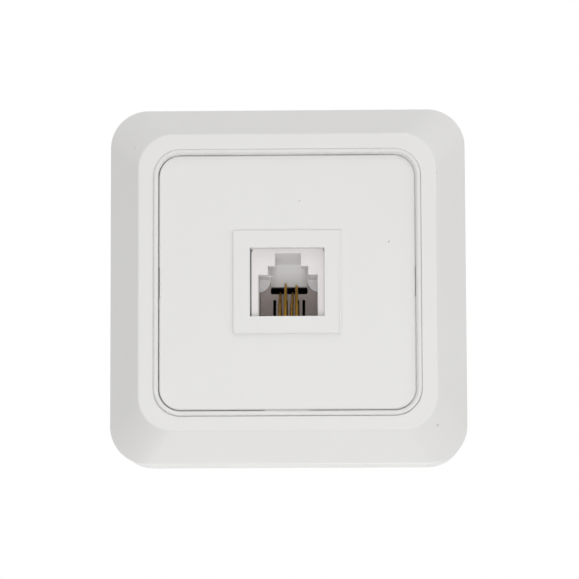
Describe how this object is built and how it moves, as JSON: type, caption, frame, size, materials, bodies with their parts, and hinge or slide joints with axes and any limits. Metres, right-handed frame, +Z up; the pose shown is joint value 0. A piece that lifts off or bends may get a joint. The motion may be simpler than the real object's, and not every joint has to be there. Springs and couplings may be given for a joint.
{
  "type": "telephone wall socket",
  "caption": "Square surface-mounted telephone wall socket with a sloped border, a flat clip-in centre plate and a modular jack behind a raised insert.",
  "frame": {"origin": "centre of the back box's flat back, on the wall plane", "axes": "+Y into the wall, so that the face looks along -Y; +Z up the wall; +X to the right seen from the front"},
  "size_m": [0.062, 0.0239, 0.062],
  "materials": {
    "white_plastic": "satin moulded, white",
    "base_plastic": "plain moulded, white",
    "jack_plastic": "moulded, faintly warm white",
    "insert_plastic": "moulded, warm grey",
    "contact_metal": "gold plated wire",
    "board": "lacquered board",
    "terminal_plastic": "moulded, blue",
    "clamp_metal": "nickel plated",
    "screw_metal": "zinc plated"
  },
  "bodies": {
    "root": {"back_box": "base_plastic", "cover_frame": "white_plastic", "carrier_frame": "white_plastic", "center_plate": "white_plastic", "jack_bezel": "white_plastic", "jack_housing": "jack_plastic", "contact_carrier": "insert_plastic", "contact_wire_1": "contact_metal", "contact_wire_2": "contact_metal", "contact_wire_3": "contact_metal", "contact_wire_4": "contact_metal", "circuit_board": "board", "terminal_block": "terminal_plastic", "terminal_clamp_1": "clamp_metal", "terminal_clamp_2": "clamp_metal", "terminal_clamp_3": "clamp_metal", "terminal_clamp_4": "clamp_metal", "terminal_screw_1": "screw_metal", "terminal_screw_2": "screw_metal", "terminal_screw_3": "screw_metal", "terminal_screw_4": "screw_metal", "carrier_screw_1": "screw_metal", "carrier_screw_2": "screw_metal", "board_screw_1": "screw_metal", "board_screw_2": "screw_metal"}
  },
  "joints": []
}
